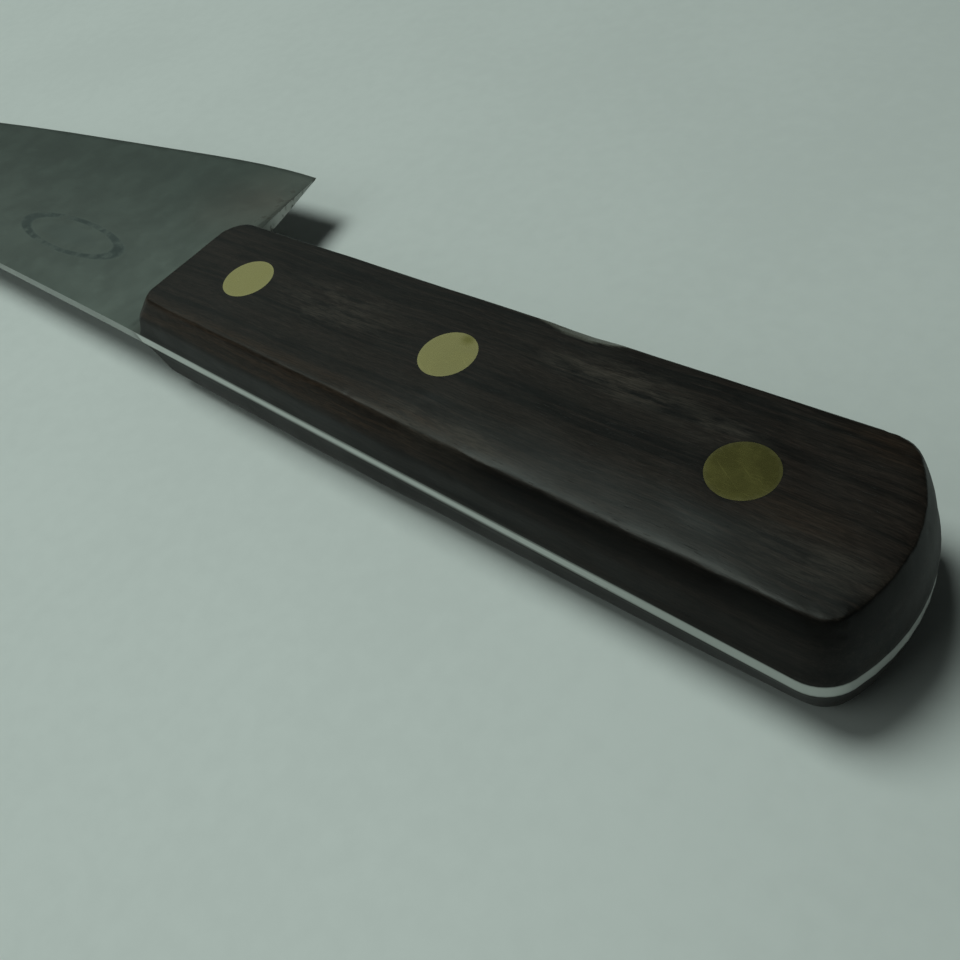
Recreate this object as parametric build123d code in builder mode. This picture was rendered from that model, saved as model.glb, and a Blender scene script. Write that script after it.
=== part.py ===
"""Chef knife with a full tang, two wooden scales and three brass compression rivets.

Units are millimetres. The knife lies on its side, the way it is put down on a board.
The origin is on the face it rests on, under the middle rivet. +X runs along the handle
towards the point, +Y towards the spine, and +Z up, so the cutting edge faces -Y.
"""

import os

from build123d import *

os.makedirs("parts", exist_ok=True)

# ---- Driving dimensions -------------------------------------------------------------

tang_thickness = 2.0
scale_thickness = 8.0

# Handle outline at the level of the tang. It flares towards the butt, more on the spine
# side, and the rounded butt sweeps forward to the belly side.
front_spine = (59.4, 12.0)
front_belly = (58.9, -12.0)
butt_spine = (-57.9, 15.7)
butt_belly = (-55.5, -12.8)
butt_apex = (-61.5, 4.5)

# Insets of a scale's two upper sections from the tang's outline. The side walls rise to
# an arris, and above it a chamfer goes in to the flat outer face.
# front: one value; spine: front, middle, butt; belly: front, butt; butt: spine, apex, belly
arris_height = 4.7
arris_insets = {
    "front": 3.0,
    "spine": (0.1, 0.2, 1.3),
    "belly": (0.3, 0.5),
    "butt": (0.4, 0.8, 0.9),
}
outer_insets = {
    "front": 5.0,
    "spine": (1.7, 2.0, 2.8),
    "belly": (1.7, 2.0),
    "butt": (1.0, 1.8, 1.0),
}

# Corner radii in the order front spine, butt spine, butt belly, front belly
tang_corner_radii = (1.0, 5.0, 4.0, 1.0)
arris_corner_radii = (1.6, 4.5, 4.0, 2.5)
outer_corner_radii = (2.5, 3.0, 3.5, 4.5)
soft_edge_radius = 0.9

# Compression rivets: a tubular half and a solid half, pressed together
rivet_places = {"front": (39.7, 0.0), "middle": (0.0, 0.0), "rear": (-41.4, 0.6)}
rivet_head_diameter = 8.0
rivet_head_thickness = 2.4
rivet_tube_diameter = 5.0
rivet_shank_diameter = 3.4
rivet_shank_gap = 1.0

# Blade stations from the heel to the point: x, spine y, edge y, thickness at the spine
blade_stations = [
    (66.0, 11.8, -32.9, 2.0),
    (100.0, 11.0, -30.4, 1.9),
    (150.0, 9.9, -24.7, 1.7),
    (200.0, 8.3, -16.9, 1.4),
    (240.0, 6.2, -8.3, 1.0),
]
point = (267.0, 2.6)
heel = (62.3, -32.8)
# The ground faces reach their full depth here, and fade out in a short plunge behind it
grind_start = (62.0, 11.9, -32.8, 2.0)
edge_thickness = 0.30
edge_bevel_width = 0.60
edge_bevel_depth = 0.12
point_thickness = 0.4
plunge_start_x = 59.6
plunge_clearance = 0.02
choil_radius = 1.2

# ---- Sizes worked out from those ----------------------------------------------------

tang_bottom = scale_thickness
tang_top = scale_thickness + tang_thickness
mid_height = tang_bottom + tang_thickness / 2
mid_plane = Plane.XY.offset(mid_height)
knife_top = 2 * scale_thickness + tang_thickness
rivet_points = list(rivet_places.values())
no_insets = {"front": 0, "spine": (0, 0, 0), "belly": (0, 0), "butt": (0, 0, 0)}


def inset_corners(insets):
    """The handle outline's corners, in the order of the corner radii."""
    spine_front, _, spine_butt = insets["spine"]
    belly_front, belly_butt = insets["belly"]
    butt_at_spine, _, butt_at_belly = insets["butt"]
    return [
        (front_spine[0] - insets["front"], front_spine[1] - spine_front),
        (butt_spine[0] + butt_at_spine, butt_spine[1] - spine_butt),
        (butt_belly[0] + butt_at_belly, butt_belly[1] + belly_butt),
        (front_belly[0] - insets["front"], front_belly[1] + belly_front),
    ]


def draw_sides_and_butt(insets):
    """Draws the spine side, the round butt and the belly side, open at the front."""
    corners = inset_corners(insets)
    middle_x = (front_spine[0] + butt_spine[0]) / 2
    middle_y = (front_spine[1] + butt_spine[1]) / 2 - insets["spine"][1]
    apex = (butt_apex[0] + insets["butt"][1], butt_apex[1])
    Spline(corners[0], (middle_x, middle_y), corners[1])
    ThreePointArc(corners[1], apex, corners[2])
    Line(corners[2], corners[3])


def handle_section(height, insets, radii):
    """A closed, round-cornered section of the upper scale at a height above the tang."""
    corners = inset_corners(insets)
    with BuildSketch(Plane.XY.offset(tang_top + height)) as section:
        with BuildLine():
            draw_sides_and_butt(insets)
            Line(corners[3], corners[0])
        make_face()
        for corner, radius in zip(corners, radii):
            fillet(section.vertices().sort_by_distance((*corner, 0))[0], radius=radius)
    return section.sketch


# ---- Wooden scales ------------------------------------------------------------------

scale_sections = [
    handle_section(0, no_insets, tang_corner_radii),
    handle_section(arris_height, arris_insets, arris_corner_radii),
    handle_section(scale_thickness, outer_insets, outer_corner_radii),
]

with BuildPart() as upper_scale:
    loft(sections=scale_sections, ruled=True)
    outer_face = upper_scale.faces().sort_by(Axis.Z)[-1]
    fillet(outer_face.edges(), radius=soft_edge_radius)
    with Locations(*[(x, y, knife_top) for x, y in rivet_points]):
        CounterBoreHole(
            radius=rivet_tube_diameter / 2,
            counter_bore_radius=rivet_head_diameter / 2,
            counter_bore_depth=rivet_head_thickness,
        )

with BuildPart() as lower_scale:
    mirror(upper_scale.part, about=mid_plane)

# ---- Blade and tang, one piece of steel ---------------------------------------------


def grind_section(x, spine_y, edge_y, spine_half, edge_half):
    """The space above the blade's upper ground face at a station along the blade."""
    slope = (spine_half - edge_half) / (spine_y - edge_y)
    beyond = 8.0
    clear = 4.0
    with BuildSketch(Plane.YZ.offset(x)) as section:
        with BuildLine():
            Polyline(
                (spine_y + beyond, mid_height + spine_half + slope * beyond),
                (edge_y - beyond, mid_height + edge_half - slope * beyond),
                (edge_y - beyond, mid_height + clear),
                (spine_y + beyond, mid_height + clear),
                close=True,
            )
        make_face()
    return section.sketch


edge_half = edge_thickness / 2
grind_sections = [
    grind_section(x, spine_y, edge_y, thickness / 2, edge_half)
    for x, spine_y, edge_y, thickness in (grind_start, *blade_stations)
]
grind_sections.append(
    grind_section(point[0] + 3, point[1] + 1, point[1] - 3, point_thickness / 2, edge_half)
)
_, heel_spine_y, heel_edge_y, _ = grind_start
above_tang = tang_thickness / 2 + plunge_clearance
plunge_section = grind_section(plunge_start_x, heel_spine_y, heel_edge_y, above_tang, above_tang)

with BuildPart() as grind:
    loft(sections=grind_sections)

with BuildPart() as plunge:
    loft(sections=[plunge_section, grind_sections[0]], ruled=True)

spine_points = [(x, spine_y) for x, spine_y, _, _ in blade_stations]
edge_points = [(x, edge_y) for x, _, edge_y, _ in blade_stations]

with BuildPart() as blade:
    with BuildSketch(Plane.XY.offset(tang_bottom)) as outline:
        with BuildLine():
            draw_sides_and_butt(no_insets)
            Line(front_belly, heel)
            Spline(heel, *edge_points, point)
            Spline(point, *reversed(spine_points), front_spine)
        make_face()
        butt_corners = outline.vertices().sort_by(Axis.X)[:2].sort_by(Axis.Y)
        fillet(butt_corners[1], radius=tang_corner_radii[1])
        butt_belly_corner = outline.vertices().sort_by_distance((*butt_belly, 0))[0]
        fillet(butt_belly_corner, radius=tang_corner_radii[2])
        choil = outline.vertices().sort_by_distance((*front_belly, 0))[0]
        fillet(choil, radius=choil_radius)
    extrude(amount=tang_thickness)
    for cutter in (grind.part, plunge.part):
        add(cutter, mode=Mode.SUBTRACT)
        mirror(cutter, about=mid_plane, mode=Mode.SUBTRACT)
    for side in (0, -1):
        ground_faces = blade.faces().filter_by(GeomType.BSPLINE).sort_by(SortBy.AREA)[-2:]
        edge_wall = blade.faces().filter_by(GeomType.EXTRUSION).sort_by(Axis.Y)[0]
        long_edges = edge_wall.edges().sort_by(SortBy.LENGTH)[-2:]
        chamfer(
            long_edges.sort_by(Axis.Z)[side],
            length=edge_bevel_width,
            length2=edge_bevel_depth,
            reference=ground_faces.sort_by(Axis.Z)[side],
        )
    with Locations(*[(x, y, tang_top) for x, y in rivet_points]):
        Hole(radius=rivet_tube_diameter / 2)

# ---- Rivets -------------------------------------------------------------------------

tube_length = knife_top - 2 * rivet_head_thickness
shank_length = tube_length - rivet_shank_gap

rivets = {}
for name, place in rivet_places.items():
    with BuildPart() as socket:
        with BuildSketch(Plane.XY.offset(knife_top)):
            with Locations(place):
                Circle(rivet_head_diameter / 2)
        extrude(amount=-rivet_head_thickness)
        with BuildSketch(Plane.XY.offset(knife_top - rivet_head_thickness)):
            with Locations(place):
                Circle(rivet_tube_diameter / 2)
                Circle(rivet_shank_diameter / 2, mode=Mode.SUBTRACT)
        extrude(amount=-tube_length)
    with BuildPart() as stud:
        with BuildSketch():
            with Locations(place):
                Circle(rivet_head_diameter / 2)
        extrude(amount=rivet_head_thickness)
        with BuildSketch(Plane.XY.offset(rivet_head_thickness)):
            with Locations(place):
                Circle(rivet_shank_diameter / 2)
        extrude(amount=shank_length)
    rivets[f"{name}_rivet_socket"] = socket.part
    rivets[f"{name}_rivet_stud"] = stud.part

# ---- One labelled solid for each piece ----------------------------------------------

pieces = {
    "blade": blade.part,
    "upper_scale": upper_scale.part,
    "lower_scale": lower_scale.part,
    **rivets,
}
for name, piece in pieces.items():
    piece.label = name
    export_step(piece, f"parts/{name}.step")
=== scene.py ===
"""The looks of a well-used chef knife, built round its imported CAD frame.

Every length in a name ending in _mm or _MM, and in every call of mm(), is in millimetres in the
knife's own frame, while Blender works in metres. The knife lies flat, with its point along +X and its
cutting edge along -Y. Regions of wear and dirt are given by where they start and stop, in the same
millimetres, and amounts run from 0 to 1.
"""

import math

import bmesh
import bpy
from mathutils import Matrix, Vector, noise


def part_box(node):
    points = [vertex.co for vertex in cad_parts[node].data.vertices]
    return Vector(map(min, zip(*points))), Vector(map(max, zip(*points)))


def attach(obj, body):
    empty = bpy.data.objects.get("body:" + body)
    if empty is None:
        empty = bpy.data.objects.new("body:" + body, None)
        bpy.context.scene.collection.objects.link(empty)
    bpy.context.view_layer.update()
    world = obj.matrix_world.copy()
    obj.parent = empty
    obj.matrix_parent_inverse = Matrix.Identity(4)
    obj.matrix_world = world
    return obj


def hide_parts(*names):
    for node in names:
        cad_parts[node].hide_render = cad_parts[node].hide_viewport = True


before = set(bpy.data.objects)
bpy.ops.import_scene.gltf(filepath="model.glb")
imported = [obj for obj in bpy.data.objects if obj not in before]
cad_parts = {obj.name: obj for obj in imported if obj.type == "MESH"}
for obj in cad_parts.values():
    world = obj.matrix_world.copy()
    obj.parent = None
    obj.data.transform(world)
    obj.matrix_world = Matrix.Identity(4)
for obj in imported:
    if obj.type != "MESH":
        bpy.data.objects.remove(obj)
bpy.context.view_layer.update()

MM = 0.001
RIVETS = ("front", "middle", "rear")

# Mesh detail: how wide the sharp edges are eased, and how far apart the cuts through the faces are.
WOOD_EASE_MM = 0.18
WOOD_CUTS_MM = 0.7
WOOD_SOFTENING_PASSES = 90
BLADE_EASE_MM = 0.05
BLADE_CUTS_MM = 1.2
TANG_CUTS_MM = 0.25
RIVET_CUTS_MM = 0.5

# Wear and marks. The chip's slope is its fall for each mm outwards.
PALM_WEAR_MM = 0.50
WAVES_MM = 0.11
RIPPLES_MM = 0.04
DINGS_MM = 0.05
CHIP_MIDDLE_MM = -13.5
CHIP_HALF_LENGTH_MM = 8.5
CHIP_WIDTH_MM = 1.5
CHIP_SLOPE = 0.55
FILE_MARKS_MM = 0.012
NICK_OFFSET_MM = (-0.9, -3.4)
# How dark each rivet is painted: partly tarnish, partly painted shade where a rivet reflects less light.
RIVET_TARNISH_AND_SHADE = {"front": 0.14, "middle": 0.0, "rear": 1.0}
OVAL_CENTRE_MM = (98.5, -1.0, 0.0)
OVAL_HALF_LENGTH_MM = 15.0
OVAL_HALF_WIDTH_MM = 4.0

# Colours, as linear RGB. The metals' are those of the light that they reflect straight back.
WOOD = {
    "ground": (0.0048, 0.0042, 0.0040),
    "bands": (0.0165, 0.0116, 0.0096),
    "streaks": (0.0275, 0.0184, 0.0152),
    "ruddy": (0.0400, 0.0215, 0.0125),
    "worn": (0.0620, 0.0480, 0.0390),
    "edge": (0.0340, 0.0290, 0.0240),
    "lines": (0.0034, 0.0026, 0.0022),
    "pores": (0.0030, 0.0024, 0.0020),
    # The walls' and rear chamfer's darker colour: painted shade, and hand dirt.
    "grime_and_shade": (0.0030, 0.0028, 0.0026),
    # The chip's bare wood, lightened into a painted reflection of the pale table.
    "chip_and_sheen": (0.1250, 0.1170, 0.0980),
}
STEEL = {
    "ground": (0.150, 0.170, 0.155),
    "clouds": (0.166, 0.187, 0.170),
    "blotches": (0.126, 0.146, 0.136),
    "brown": (0.205, 0.168, 0.145),
    "dark": (0.104, 0.125, 0.112),
    "rubbed": (0.640, 0.655, 0.630),
    # The seams' colour: dirt, and painted shade.
    "seam_dirt_and_shade": (0.090, 0.095, 0.085),
    "etched": (0.052, 0.064, 0.066),
    "pits": (0.070, 0.062, 0.055),
}
BRASS = {
    "clean": (0.690, 0.600, 0.272),
    "dull": (0.650, 0.565, 0.246),
    "tarnish_and_shade": (0.420, 0.368, 0.112),
    "rim": (0.780, 0.690, 0.360),
    "scratch": (0.360, 0.290, 0.120),
}
TABLE = {"dull": (0.765, 0.765, 0.765), "pale": (0.800, 0.800, 0.800)}

# Light. A wide lamp over the blade casts the shadows, and a weak one fills the spine side. A panel
# beyond the blade is there only for the metal and the wood to reflect. Each lamp has its name, shape,
# size, power and place, in metres and watts.
ROOM_TINT = (0.834, 1.0, 0.916)
ROOM_GLOW = 0.020
LAMPS = (
    ("key", "DISK", (0.60, 0.60), 6.6, (0.46, 0.03, 1.05)),
    ("fill", "DISK", (0.60, 0.60), 0.62, (0.25, 0.50, 0.50)),
    ("panel", "RECTANGLE", (1.30, 0.55), 0.60, (0.85, -0.50, 0.54)),
)
ONLY_REFLECTED = "panel"
NEVER_REFLECTED = "fill"
LAMP_AIM_MM = (0, 0, 9)

# Camera. It looks at a point on the handle's upper face. Its angles are in degrees.
AIM_MM = (-16.92, 14.54, 18.0)
CAMERA_DISTANCE_MM = 109.8
CAMERA_ELEVATION = 47.26
CAMERA_HEADING = -36.54
CAMERA_ROLL = 20.02
CAMERA_LENS = 37.12


def mm(*values):
    """A point or a size given in millimetres, in metres."""
    scaled = [v * MM for v in values]
    return scaled[0] if len(scaled) == 1 else Vector(scaled)


def smooth(value, low, high):
    """0 below low, 1 above high, and a smooth step between. It falls instead if low is above high."""
    t = min(1.0, max(0.0, (value - low) / (high - low)))
    return t * t * (3.0 - 2.0 * t)


def wander(point_mm, size_mm, seed=0.0):
    """Smooth noise from 0 to 1 whose lumps are about size_mm across."""
    shifted = Vector(point_mm) / size_mm + Vector((seed, 2.7 * seed, -1.3 * seed))
    return min(1.0, max(0.0, 0.5 + 0.7 * noise.noise(shifted)))


# ---------------------------------------------------------------- mesh work

def open_copy(node):
    """A CAD node's shape as a bmesh, with its shared corners joined and its flat triangles merged."""
    bm = bmesh.new()
    bm.from_mesh(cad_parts[node].data)
    same_corner, same_plane = mm(0.002), math.radians(0.3)
    bmesh.ops.remove_doubles(bm, verts=bm.verts, dist=same_corner)
    bmesh.ops.dissolve_limit(bm, angle_limit=same_plane, verts=bm.verts, edges=bm.edges)
    return bm


def ease_edges(bm, width_mm, where=None):
    """Rounds the sharp edges whose two ends where(point in mm) allows, or all of them, as handling does."""
    limit = math.radians(30.0)
    sharp = [e for e in bm.edges if e.is_manifold and e.calc_face_angle() > limit]
    if where is not None:
        sharp = [e for e in sharp if all(where(v.co / MM) for v in e.verts)]
    bmesh.ops.bevel(
        bm, geom=sharp, offset=mm(width_mm), offset_type="OFFSET", segments=2,
        profile=0.5, affect="EDGES", clamp_overlap=True,
    )


def cut_grid(bm, step_mm, axes="xyz", where=None):
    """Cuts the faces along planes step_mm apart: all of them, or those that where(point in mm) allows."""
    for axis in axes:
        index = "xyz".index(axis)
        normal = Vector((0, 0, 0))
        normal[index] = 1.0
        places = [v.co[index] for v in bm.verts]
        low, high = min(places), max(places)
        count = math.ceil((high - low) / mm(step_mm))
        on_plane = mm(0.001)
        for i in range(1, count):
            at = normal * (low + (high - low) * i / count)
            faces = [f for f in bm.faces if where is None or where(f.calc_center_median() / MM)]
            edges = {e for f in faces for e in f.edges}
            verts = {v for f in faces for v in f.verts}
            bmesh.ops.bisect_plane(
                bm, geom=[*verts, *edges, *faces], dist=on_plane, plane_co=at, plane_no=normal
            )


def soften(bm, passes, share):
    """Relaxes each vertex for share(point in mm) of the passes, which rounds the edges between faces."""
    shares = [(v, share(v.co / MM)) for v in bm.verts]
    for done in range(passes):
        free = [v for v, part in shares if part * passes > done + 0.5]
        bmesh.ops.smooth_vert(
            bm, verts=free, factor=0.5, use_axis_x=True, use_axis_y=True, use_axis_z=True
        )


def sink(bm, depth_mm):
    """Moves each vertex into the piece by depth_mm(point in mm, normal), which is never below 0."""
    bm.normal_update()
    moves = [(v, depth_mm(v.co / MM, v.normal)) for v in bm.verts]
    for vert, depth in moves:
        vert.co -= vert.normal * mm(max(0.0, depth))


def flatten(bm, depth_mm):
    """Moves each vertex straight towards the knife's middle plane by depth_mm(point in mm)."""
    for vert in bm.verts:
        vert.co.z -= math.copysign(mm(depth_mm(vert.co / MM)), vert.co.z - mm(MIDDLE_MM))


def lower_to(bm, height_mm):
    """Planes vertices down to height_mm(point in mm), where that is below them."""
    for vert in bm.verts:
        vert.co.z = min(vert.co.z, mm(height_mm(vert.co / MM)))


def finished_piece(bm, name, node, material, smooth_angle=32.0):
    """Makes the bmesh the visible piece that stands for a CAD node."""
    bm.normal_update()
    mesh = bpy.data.meshes.new(name)
    index = {v: i for i, v in enumerate(bm.verts)}
    mesh.from_pydata(
        [v.co.copy() for v in bm.verts], [], [[index[v] for v in f.verts] for f in bm.faces]
    )
    bm.free()
    mesh.validate()
    mesh.shade_smooth()
    mesh.set_sharp_from_angle(angle=math.radians(smooth_angle))
    mesh.materials.append(material)
    piece = bpy.data.objects.new(name, mesh)
    bpy.context.scene.collection.objects.link(piece)
    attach(piece, "root")
    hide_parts(node)
    return piece


def paint(piece, layer, amount):
    """Stores amount(point in mm, normal), from 0 to 1, at every vertex, for the materials to read."""
    data = piece.data.attributes.new(layer, "FLOAT", "POINT").data
    for vert, value in zip(piece.data.vertices, data):
        value.value = min(1.0, max(0.0, amount(vert.co / MM, vert.normal)))


# ---------------------------------------------------------------- material graphs

class Graph:
    """One material's nodes. Every method returns the socket that the next one takes."""

    def __init__(self, name):
        self.material = bpy.data.materials.new(name)
        self.material.use_nodes = True
        self.nodes = self.material.node_tree.nodes
        self.links = self.material.node_tree.links
        self.shader = self.nodes["Principled BSDF"]

    def add(self, kind, inputs, out=0, **settings):
        node = self.nodes.new("ShaderNode" + kind)
        for key, value in settings.items():
            setattr(node, key, value)
        for key, value in inputs.items():
            self.plug(value, node.inputs[key])
        return node.outputs[out]

    def plug(self, value, socket):
        if isinstance(value, bpy.types.NodeSocket):
            self.links.new(value, socket)
        else:
            socket.default_value = value

    def math(self, operation, a, b=0.0):
        return self.add("Math", {0: a, 1: b}, operation=operation)

    def times(self, a, b):
        return self.math("MULTIPLY", a, b)

    def plus(self, a, b):
        return self.math("ADD", a, b)

    def point_mm(self):
        place = self.add("TexCoord", {}, out="Object")
        return self.stretch(place, (1 / MM, 1 / MM, 1 / MM))

    def stretch(self, vector, factors):
        return self.add("VectorMath", {0: vector, 1: factors}, operation="MULTIPLY")

    def bent(self, vector, amounts, size_mm):
        """The vector pushed about by noise, by up to half of each amount, in millimetres."""
        cloud = self.add("TexNoise", {"Vector": vector, "Scale": 1.0 / size_mm, "Detail": 2.0}, out="Color")
        centred = self.add("VectorMath", {0: cloud, 1: (0.5, 0.5, 0.5)}, operation="SUBTRACT")
        pushed = self.stretch(centred, amounts)
        return self.add("VectorMath", {0: vector, 1: pushed}, operation="ADD")

    def noise(self, vector, size_mm, detail=3.0, roughness=0.5):
        inputs = {"Vector": vector, "Scale": 1.0 / size_mm, "Detail": detail, "Roughness": roughness}
        return self.add("TexNoise", inputs, out="Fac")

    def step(self, value, low, high, to_low=0.0, to_high=1.0):
        inputs = {"Value": value, "From Min": low, "From Max": high, "To Min": to_low, "To Max": to_high}
        return self.add("MapRange", inputs, interpolation_type="SMOOTHSTEP")

    def painted(self, layer):
        return self.add("Attribute", {}, out="Fac", attribute_name=layer)

    def blend(self, amount, a, b):
        """Colour a where amount is 0, and colour b where it is 1."""
        inputs = {"Factor": amount, 6: colour(a), 7: colour(b)}
        return self.add("Mix", inputs, out=2, data_type="RGBA")

    def bump(self, height, distance_mm, strength):
        inputs = {"Height": height, "Distance": mm(distance_mm), "Strength": strength}
        return self.add("Bump", inputs)

    def finish(self, **inputs):
        for key, value in inputs.items():
            self.plug(value, self.shader.inputs[key.replace("_", " ")])
        return self.material


def colour(value):
    """A linear RGB triple with its alpha, or the socket that it already is."""
    return value if isinstance(value, bpy.types.NodeSocket) else (*value, 1.0)


def rosewood():
    """Dark, dense rosewood: long bands, streaks and lines, short open pores, dry worn patches."""
    g = Graph("old_rosewood")
    point = g.bent(g.point_mm(), (0.0, 2.2, 2.2), 30.0)
    long_grain = g.stretch(point, (0.020, 1.0, 1.0))
    short_grain = g.stretch(point, (0.085, 1.0, 1.0))

    bands = g.step(g.noise(long_grain, 3.4, 3.0), 0.38, 0.64)
    streaks = g.step(g.noise(long_grain, 0.75, 4.0, 0.65), 0.40, 0.66)
    lines = g.step(g.noise(g.stretch(point, (0.012, 1.0, 1.0)), 0.36, 2.0), 0.62, 0.74)
    fibres = g.noise(short_grain, 0.14, 3.0, 0.6)
    pores = g.step(g.noise(short_grain, 0.16, 2.0), 0.66, 0.74)

    tone = g.blend(bands, WOOD["ground"], WOOD["bands"])
    tone = g.blend(g.times(streaks, 0.65), tone, WOOD["streaks"])
    ruddy = g.times(g.painted("ruddy"), g.step(streaks, 0.0, 1.0, 0.35, 0.9))
    tone = g.blend(ruddy, tone, WOOD["ruddy"])

    mottle = g.step(g.noise(g.stretch(point, (0.22, 1.0, 1.0)), 1.6, 6.0, 0.7), 0.38, 0.64)
    worn = g.times(g.painted("worn"), mottle)
    tone = g.blend(g.times(worn, 0.75), tone, WOOD["worn"])
    edge = g.times(g.painted("edge"), g.step(streaks, 0.0, 1.0, 0.35, 1.0))
    tone = g.blend(g.times(edge, 0.30), tone, WOOD["edge"])
    fine = g.step(fibres, 0.30, 0.72, 0.62, 1.38)
    tone = g.add("VectorMath", {0: tone, "Scale": fine}, operation="SCALE")
    tone = g.blend(g.times(lines, 0.55), tone, WOOD["lines"])
    tone = g.blend(g.times(pores, 0.50), tone, WOOD["pores"])
    # Painted shade, with hand dirt, darkens the walls and the rear chamfer.
    tone = g.blend(g.times(g.painted("grime_and_shade"), 0.75), tone, WOOD["grime_and_shade"])
    # The chip's facet is bare wood with a painted reflection: pale colour, and less roughness.
    chip_and_sheen = g.painted("chip_and_sheen")
    tone = g.blend(g.times(chip_and_sheen, 0.9), tone, WOOD["chip_and_sheen"])

    roughness = g.plus(g.step(g.noise(point, 9.0, 3.0), 0.3, 0.7, 0.36, 0.44), g.times(worn, 0.16))
    roughness = g.plus(roughness, g.times(g.painted("flank"), 0.16))
    roughness = g.plus(roughness, g.times(pores, 0.08))
    roughness = g.plus(roughness, g.times(chip_and_sheen, -0.18))
    relief = g.plus(g.times(fibres, 0.5), g.times(pores, -0.4))
    normal = g.bump(relief, 0.026, 0.6)
    return g.finish(Base_Color=tone, Roughness=roughness, Normal=normal, Specular_IOR_Level=0.20)


def etched_oval(g, point):
    """A plain oval outline round a smaller filled oval, both half worn away."""
    centred = g.add("VectorMath", {0: point, 1: OVAL_CENTRE_MM}, operation="SUBTRACT")
    shares = g.stretch(centred, (1 / OVAL_HALF_LENGTH_MM, 1 / OVAL_HALF_WIDTH_MM, 0.0))
    reach = g.add("VectorMath", {0: shares}, out="Value", operation="LENGTH")
    outline = g.step(g.math("ABSOLUTE", g.plus(reach, -1.0)), 0.16, 0.08)
    middle = g.step(reach, 0.72, 0.30)
    left = g.step(g.noise(point, 3.0, 4.0, 0.65), 0.30, 0.56)
    return g.math("MAXIMUM", g.times(outline, left), g.times(middle, 0.4))


def patinated_steel():
    """Carbon steel ground across its width, gone grey with use, stained and pitted, bright where rubbed."""
    g = Graph("patinated_steel")
    point = g.point_mm()
    across = g.stretch(g.bent(point, (0.8, 0.0, 0.0), 14.0), (1.0, 0.03, 0.2))
    grind = g.noise(across, 0.16, 3.0, 0.6)
    clouds = g.step(g.noise(point, 22.0, 3.0), 0.34, 0.68)
    blotches = g.step(g.noise(g.bent(point, (4.0, 4.0, 0.0), 5.0), 3.2, 4.0, 0.6), 0.52, 0.70)
    pits = g.step(g.noise(point, 0.7, 2.0), 0.70, 0.78)

    tone = g.blend(clouds, STEEL["ground"], STEEL["clouds"])
    tone = g.blend(g.times(blotches, 0.12), tone, STEEL["blotches"])
    tone = g.blend(g.times(g.painted("brown"), 0.60), tone, STEEL["brown"])
    tone = g.blend(g.times(g.painted("dark"), 0.65), tone, STEEL["dark"])
    tone = g.blend(g.painted("rubbed"), tone, STEEL["rubbed"])
    # Dirt and painted shade along the tang's seams with the wood.
    tone = g.blend(g.times(g.painted("seam_dirt_and_shade"), 0.85), tone, STEEL["seam_dirt_and_shade"])
    etched = g.times(etched_oval(g, point), g.painted("upper"))
    tone = g.blend(g.times(etched, 0.70), tone, STEEL["etched"])
    spots = g.times(g.step(g.noise(point, 1.6, 3.0), 0.50, 0.66), g.painted("corroded"))
    marks = g.math("MAXIMUM", spots, g.times(pits, 0.3))
    tone = g.blend(g.times(marks, 0.65), tone, STEEL["pits"])

    roughness = g.step(g.noise(point, 6.0, 3.0), 0.3, 0.7, 0.36, 0.44)
    roughness = g.plus(roughness, g.times(blotches, 0.05))
    roughness = g.plus(roughness, g.times(g.plus(grind, -0.5), 0.12))
    roughness = g.plus(roughness, g.times(g.math("MAXIMUM", marks, etched), 0.25))
    relief = g.plus(g.times(grind, 0.35), g.times(marks, -1.0))
    normal = g.bump(relief, 0.010, 0.5)
    return g.finish(Base_Color=tone, Metallic=1.0, Roughness=roughness, Normal=normal)


def scratched_brass():
    """Brass rivets filed flush: fine crossing scratches, a thin bright rim and uneven tarnish. The rear
    rivet's darker colour is partly tarnish and partly painted shade for its darker reflection.
    """
    g = Graph("scratched_brass")
    point = g.point_mm()
    along = g.noise(g.stretch(point, (0.05, 1.0, 1.0)), 0.10, 2.0)
    slanted = g.add("VectorRotate", {"Vector": point, "Angle": 0.6}, rotation_type="Z_AXIS")
    crossing = g.noise(g.stretch(slanted, (0.04, 1.0, 1.0)), 0.22, 2.0)
    scratch = g.math("MAXIMUM", g.step(along, 0.60, 0.74), g.step(crossing, 0.66, 0.76))
    tarnish = g.step(g.noise(point, 2.4, 4.0, 0.6), 0.38, 0.70)

    tone = g.blend(tarnish, BRASS["clean"], BRASS["dull"])
    # Darker brass on the rivets and the nick: tarnish, and on the rear rivet painted shade as well.
    tone = g.blend(g.times(g.painted("tarnish_and_shade"), 0.88), tone, BRASS["tarnish_and_shade"])
    tone = g.blend(g.times(g.painted("rim"), 0.22), tone, BRASS["rim"])
    tone = g.blend(g.times(scratch, 0.08), tone, BRASS["scratch"])
    roughness = g.plus(g.step(tarnish, 0.0, 1.0, 0.25, 0.27), g.times(scratch, 0.04))
    normal = g.bump(g.plus(g.times(along, 0.3), g.times(scratch, -0.7)), 0.0008, 0.2)
    return g.finish(Base_Color=tone, Metallic=1.0, Roughness=roughness, Normal=normal)


def table_top():
    """A plain pale matt surface with a very faint mottle."""
    g = Graph("pale_table")
    point = g.point_mm()
    mottle = g.plus(g.times(g.noise(point, 55.0, 2.0), 0.6), g.times(g.noise(point, 3.0, 3.0), 0.4))
    tone = g.blend(g.step(mottle, 0.35, 0.65), TABLE["dull"], TABLE["pale"])
    normal = g.bump(g.noise(point, 0.8, 2.0), 0.02, 0.3)
    return g.finish(Base_Color=tone, Roughness=0.55, Normal=normal)


# ---------------------------------------------------------------- the handle

def rivet_centre_mm(name):
    low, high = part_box(name + "_rivet_socket")
    return ((low + high) / 2 / MM).xy


RIVET_CENTRES_MM = {name: rivet_centre_mm(name) for name in RIVETS}


def distance_to_rivets(point):
    """The distance in mm from the nearest rivet's axis."""
    return min((point.xy - centre).length for centre in RIVET_CENTRES_MM.values())


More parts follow.
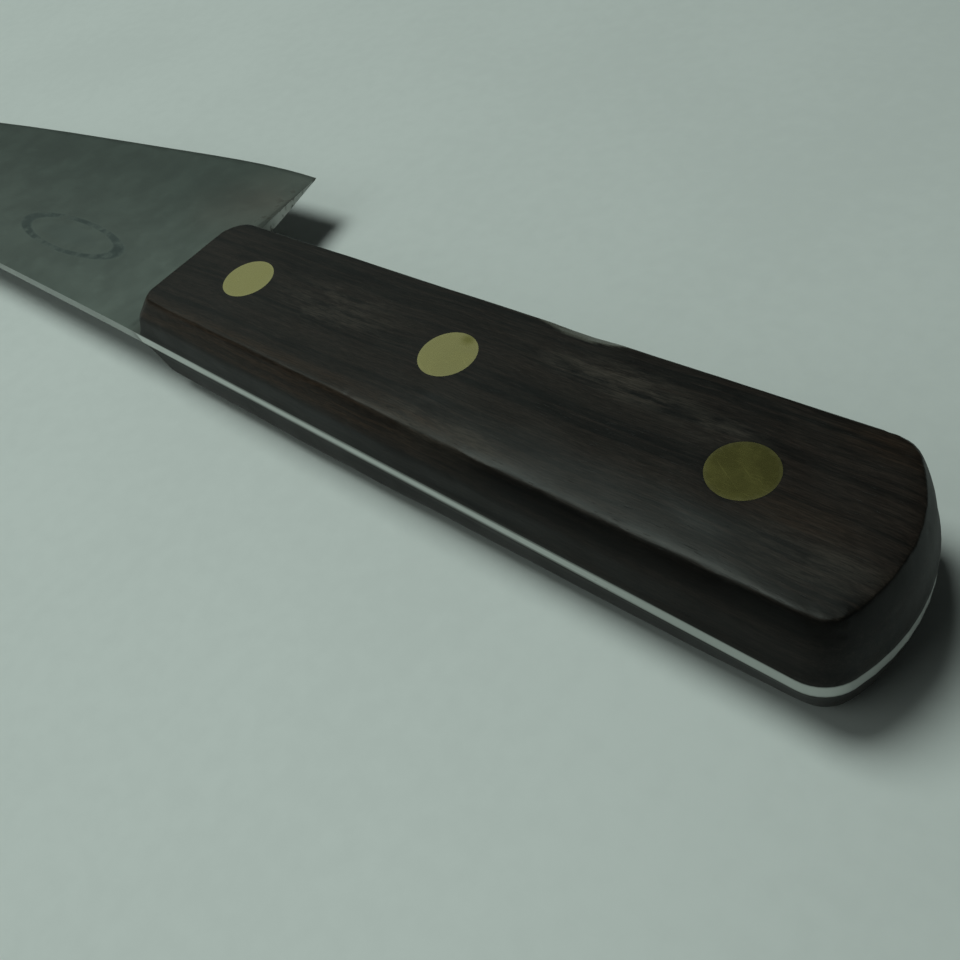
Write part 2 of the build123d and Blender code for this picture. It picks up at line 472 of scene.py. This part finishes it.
def handle_levels_mm():
    """The heights of the handle's upper face, and of the tang's upper and lower faces."""
    upper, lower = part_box("upper_scale"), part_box("lower_scale")
    return upper[1].z / MM, upper[0].z / MM, lower[1].z / MM


TOP_MM, TANG_TOP_MM, TANG_BOTTOM_MM = handle_levels_mm()
MIDDLE_MM = (TANG_TOP_MM + TANG_BOTTOM_MM) / 2
HANDLE_FRONT_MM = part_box("upper_scale")[1].x / MM
HEEL_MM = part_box("blade")[0].y / MM
HEAD_RADIUS_MM = (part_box("front_rivet_socket")[1].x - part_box("front_rivet_socket")[0].x) / 2 / MM


def off_mid_plane(point):
    return abs(point.z - MIDDLE_MM)


def free_of_fits(point):
    """0 beside the tang and the rivets, where the wood has to keep its fit, and 1 elsewhere."""
    off_tang = max(point.z - TANG_TOP_MM, TANG_BOTTOM_MM - point.z)
    off_rivet = distance_to_rivets(point) - HEAD_RADIUS_MM
    return smooth(off_tang, 0.25, 1.2) * smooth(off_rivet, 0.15, 5.0)


def off_rivets(point):
    return distance_to_rivets(point) > HEAD_RADIUS_MM + 0.3


def hand_rounding(point):
    """How much handling has rounded an edge of the wood: most on the spine side of the rear half."""
    palm = smooth(point.y, 2.0, 7.0) * smooth(point.x, 12.0, -14.0)
    butt = 0.45 * smooth(point.x, -48.0, -56.0)
    outwards = smooth(off_mid_plane(point), 4.2, 6.6)
    return free_of_fits(point) * outwards * (0.20 + 0.80 * max(palm, butt))


def above_arris(point):
    """1 on the chamfer and the outer face of either scale, and 0 on its side walls."""
    return smooth(off_mid_plane(point), 5.0, 6.4)


def palm_depth(point):
    """How far the palm has worn the spine side of the rear half down, from the arris outwards."""
    place = smooth(point.y, 4.5, 14.0) * smooth(point.x, 12.0, -24.0)
    return PALM_WEAR_MM * place * smooth(off_mid_plane(point), 5.2, 9.0) * free_of_fits(point)


def hand_worn_depth(seed):
    """How deep use has worn the wood: long shallow waves, ripples on them, and small dings."""
    def depth(point, normal):
        waves = WAVES_MM * wander(point, 18.0, seed) + RIPPLES_MM * wander(point, 4.0, seed + 5.0)
        ding = smooth(wander(point, 2.2, seed + 9.0), 0.86, 1.0)
        return (waves + DINGS_MM * ding) * free_of_fits(point)
    return depth


def chipped_edge_height(point):
    """The long shallow chip on the belly side of the upper face, as a plane that dips outwards."""
    along = (point.x - CHIP_MIDDLE_MM) / CHIP_HALF_LENGTH_MM
    if abs(along) >= 1.0:
        return TOP_MM
    belly_line = -10.7 - 0.007 * (point.x - CHIP_MIDDLE_MM)
    width = CHIP_WIDTH_MM * (1.0 - along * along)
    inside = belly_line + width - point.y + 0.2 * (wander(point, 2.0, 3.0) - 0.5)
    return TOP_MM - CHIP_SLOPE * max(0.0, inside)


def chip_mask(point, normal):
    """1 on the chip's bare facet, which also carries a pale painted reflection of the table."""
    depth = TOP_MM - chipped_edge_height(point)
    return smooth(depth, 0.05, 0.20) * smooth(point.z, TOP_MM - depth - 0.6, TOP_MM - depth - 0.2)


def nowhere(point, normal):
    """Leaves a layer unpainted."""
    return 0.0


def patch(point, centre, radii):
    """1 at the middle of an oval patch on the handle, 0 outside it."""
    reach = math.hypot((point.x - centre[0]) / radii[0], (point.y - centre[1]) / radii[1])
    return smooth(reach, 1.15, 0.3)


def worn_patches(point, normal):
    """The dry, greyish places where the palm and fingers rub."""
    between_rivets = patch(point, (22.0, -1.0), (13.0, 5.0))
    behind_middle = patch(point, (-22.0, -5.0), (13.0, 3.2))
    before_rear = patch(point, (-36.0, -3.2), (7.0, 2.4))
    thumb_edge = patch(point, (-8.0, 10.6), (13.0, 2.6))
    butt = patch(point, (-52.0, 7.0), (8.0, 4.0))
    places = (0.8 * between_rivets, behind_middle, 0.8 * before_rear, 0.8 * thumb_edge, 0.6 * butt)
    return 0.10 + 0.90 * max(places)


def ruddy_places(point, normal):
    """Where the wood's own brown shows most: the spine side's chamfer, and the belly corner of the butt."""
    belly_corner = patch(point, (-54.0, -10.0), (8.0, 4.0))
    behind_rear = patch(point, (-48.0, 3.0), (9.0, 3.0))
    chamfer = smooth(point.y, 8.5, 10.5) * smooth(point.x, -24.0, 0.0) * above_arris(point)
    return max(0.7 * belly_corner, 0.4 * behind_rear, 0.8 * chamfer)


def flank(point, normal):
    """1 on the side walls, which are duller than the outer face."""
    return smooth(abs(normal.z), 0.55, 0.25)


def grimy_and_shaded_places(point, normal):
    """Where the wood is painted darker: the walls, and the rear half's chamfer. This is painted shade for
    faces that get little light, and hand dirt as well.
    """
    rear_chamfer = smooth(point.x, 6.0, -24.0) * above_arris(point)
    return smooth(abs(normal.z), 0.90, 0.66) * max(rear_chamfer, 0.55 * (1.0 - above_arris(point)))


def rubbed_edges(point, normal):
    """The soft edge round the outer faces, where the finish has gone."""
    slope = abs(normal.z)
    return smooth(slope, 0.55, 0.80) * smooth(slope, 0.995, 0.93)


def make_scale(side, seed, material):
    """One handle scale, softened by hand wear. Only the upper one has the chip."""
    bm = open_copy(side + "_scale")
    ease_edges(bm, WOOD_EASE_MM, off_rivets)
    cut_grid(bm, WOOD_CUTS_MM)
    soften(bm, WOOD_SOFTENING_PASSES, hand_rounding)
    flatten(bm, palm_depth)
    sink(bm, hand_worn_depth(seed))
    if side == "upper":
        lower_to(bm, chipped_edge_height)
    piece = finished_piece(bm, side + "_handle_scale", side + "_scale", material)
    paint(piece, "worn", worn_patches)
    paint(piece, "edge", rubbed_edges)
    paint(piece, "ruddy", ruddy_places)
    paint(piece, "flank", flank)
    paint(piece, "grime_and_shade", grimy_and_shaded_places)
    paint(piece, "chip_and_sheen", chip_mask if side == "upper" else nowhere)
    return piece


# ---------------------------------------------------------------- blade and rivets

def on_handle(point, reach_mm):
    """1 between the scales, falling to 0 over reach_mm in front of them."""
    return smooth(point.x, HANDLE_FRONT_MM + reach_mm, HANDLE_FRONT_MM)


def rubbed_steel(point, normal):
    """Where hands keep the steel bright: the tang's edges between the scales, and the spine."""
    on_spine = smooth(point.y, 4.0, 6.0)
    kept = (1.0 - 0.35 * smooth(point.x, 5.0, -50.0)) * (0.45 + 0.55 * smooth(point.y, -14.5, -12.0))
    return smooth(abs(normal.z), 0.8, 0.3) * max(on_handle(point, 6.0) * kept, 0.45 * on_spine)


def brown_stain(point, normal):
    """A brownish stain by the heel."""
    near_heel = math.hypot((point.x - HANDLE_FRONT_MM - 10.0) / 16.0, (point.y - HEEL_MM - 10.0) / 12.0)
    return smooth(near_heel, 1.2, 0.1) * (0.4 + 0.6 * wander(point, 6.0, 2.0))


def dark_edge(point, normal):
    """The blade darkens from its spine to its cutting edge, which nears the spine towards the point."""
    spine, edge = 11.0, HEEL_MM + 0.16 * (point.x - HANDLE_FRONT_MM)
    share = (spine - point.y) / (spine - edge)
    return smooth(share, 0.35, 1.0) * smooth(point.x, HANDLE_FRONT_MM, HANDLE_FRONT_MM + 20.0)


def corroded_heel(point, normal):
    """Where water has stood, in the corner between the heel and the handle."""
    return smooth(point.x, HANDLE_FRONT_MM + 7.5, HANDLE_FRONT_MM + 3.0) * smooth(point.y, -8.0, -12.0)


def dirty_and_shaded_seam(point, normal):
    """The darkening along the tang's two seams with the wood, widest in the middle of the handle: dirt, and
    painted shade for the dark reflections of the tang's rounded edges and the gaps.
    """
    widest = 0.10 + 0.30 * smooth(point.x, -48.0, -10.0) * smooth(point.x, 54.0, 25.0)
    clear = (TANG_TOP_MM - TANG_BOTTOM_MM) / 2 - off_mid_plane(point)
    return smooth(clear, widest + 0.2, widest - 0.1) * on_handle(point, 4.0)


def upper_side(point, normal):
    return smooth(normal.z, 0.4, 0.8)


def make_blade(material):
    """The blade and its tang, with a finer mesh where the tang shows between the scales."""
    bm = open_copy("blade")
    ease_edges(bm, BLADE_EASE_MM)
    cut_grid(bm, BLADE_CUTS_MM, "xy")
    cut_grid(bm, TANG_CUTS_MM, "z", lambda point: point.x < HANDLE_FRONT_MM)
    piece = finished_piece(bm, "steel_blade", "blade", material, smooth_angle=15.0)
    paint(piece, "rubbed", rubbed_steel)
    paint(piece, "brown", brown_stain)
    paint(piece, "dark", dark_edge)
    paint(piece, "corroded", corroded_heel)
    paint(piece, "seam_dirt_and_shade", dirty_and_shaded_seam)
    paint(piece, "upper", upper_side)
    return piece


def filed_depth(centre):
    """How unevenly a rivet's head is filed, away from its rim."""
    def depth(point, normal):
        inside = smooth((point.xy - centre).length, HEAD_RADIUS_MM - 0.2, HEAD_RADIUS_MM - 1.4)
        return FILE_MARKS_MM * wander(point, 3.2, 4.0) * inside * smooth(abs(normal.z), 0.8, 1.0)
    return depth


def make_rivet_part(name, part, material):
    """One half of a compression rivet, its head filed flush and slightly uneven.

    The middle one has a tarnished nick.
    """
    node = f"{name}_rivet_{part}"
    centre = RIVET_CENTRES_MM[name]
    bm = open_copy(node)
    cut_grid(bm, RIVET_CUTS_MM)
    sink(bm, filed_depth(centre))
    piece = finished_piece(bm, f"brass_{node}", node, material)

    def tarnish_and_shade(point, normal):
        nicked = smooth((point.xy - centre - Vector(NICK_OFFSET_MM)).length, 1.5, 0.3)
        return max(RIVET_TARNISH_AND_SHADE[name], nicked if name == "middle" else 0.0)

    def rim(point, normal):
        return smooth((point.xy - centre).length, HEAD_RADIUS_MM - 0.45, HEAD_RADIUS_MM - 0.1)

    paint(piece, "tarnish_and_shade", tarnish_and_shade)
    paint(piece, "rim", rim)
    return piece


# ---------------------------------------------------------------- stage, light and camera

def make_table(material):
    """A square table top whose sides are twice half, in metres."""
    half = 3.0
    mesh = bpy.data.meshes.new("table")
    corners = [(-half, -half, 0), (half, -half, 0), (half, half, 0), (-half, half, 0)]
    mesh.from_pydata(corners, [], [(0, 1, 2, 3)])
    mesh.materials.append(material)
    table = bpy.data.objects.new("table", mesh)
    bpy.context.scene.collection.objects.link(table)


def make_room():
    """A dim, even glow from all round."""
    world = bpy.data.worlds.new("room")
    bpy.context.scene.world = world
    world.use_nodes = True
    backdrop = world.node_tree.nodes["Background"]
    backdrop.inputs["Color"].default_value = (*ROOM_TINT, 1.0)
    backdrop.inputs["Strength"].default_value = ROOM_GLOW


def make_lamp(name, shape, size, power, place):
    """A soft lamp, turned to shine on the handle."""
    light = bpy.data.lights.new(name, "AREA")
    light.shape = shape
    light.size, light.size_y = size
    light.energy = power
    light.color = ROOM_TINT
    lamp = bpy.data.objects.new(name, light)
    lamp.location = place
    lamp.visible_diffuse = name != ONLY_REFLECTED
    lamp.visible_glossy = name != NEVER_REFLECTED
    lamp.rotation_mode = "QUATERNION"
    lamp.rotation_quaternion = (mm(*LAMP_AIM_MM) - lamp.location).to_track_quat("-Z", "Y")
    bpy.context.scene.collection.objects.link(lamp)


def make_camera():
    """The camera, tipped about the way it looks by its roll."""
    elevation, heading = math.radians(CAMERA_ELEVATION), math.radians(CAMERA_HEADING)
    roll = math.radians(CAMERA_ROLL)
    flat = math.cos(elevation)
    forward = Vector((flat * math.cos(heading), flat * math.sin(heading), -math.sin(elevation)))
    level = forward.cross(Vector((0, 0, 1))).normalized()
    rise = level.cross(forward)
    right = level * math.cos(roll) - rise * math.sin(roll)
    up = level * math.sin(roll) + rise * math.cos(roll)
    camera = bpy.data.objects.new("camera", bpy.data.cameras.new("camera"))
    camera.data.lens = CAMERA_LENS
    camera.data.clip_start = 0.002
    place = mm(*AIM_MM) - forward * mm(CAMERA_DISTANCE_MM)
    camera.matrix_world = Matrix.Translation(place) @ Matrix((right, up, -forward)).transposed().to_4x4()
    bpy.context.scene.collection.objects.link(camera)
    bpy.context.scene.camera = camera


make_camera()
wood, steel, brass = rosewood(), patinated_steel(), scratched_brass()
make_scale("upper", 1.0, wood)
make_scale("lower", 21.0, wood)
make_blade(steel)
for rivet in RIVETS:
    for half in ("socket", "stud"):
        make_rivet_part(rivet, half, brass)
make_table(table_top())
make_room()
for lamp_facts in LAMPS:
    make_lamp(*lamp_facts)
bpy.context.scene.view_settings.view_transform = "Standard"
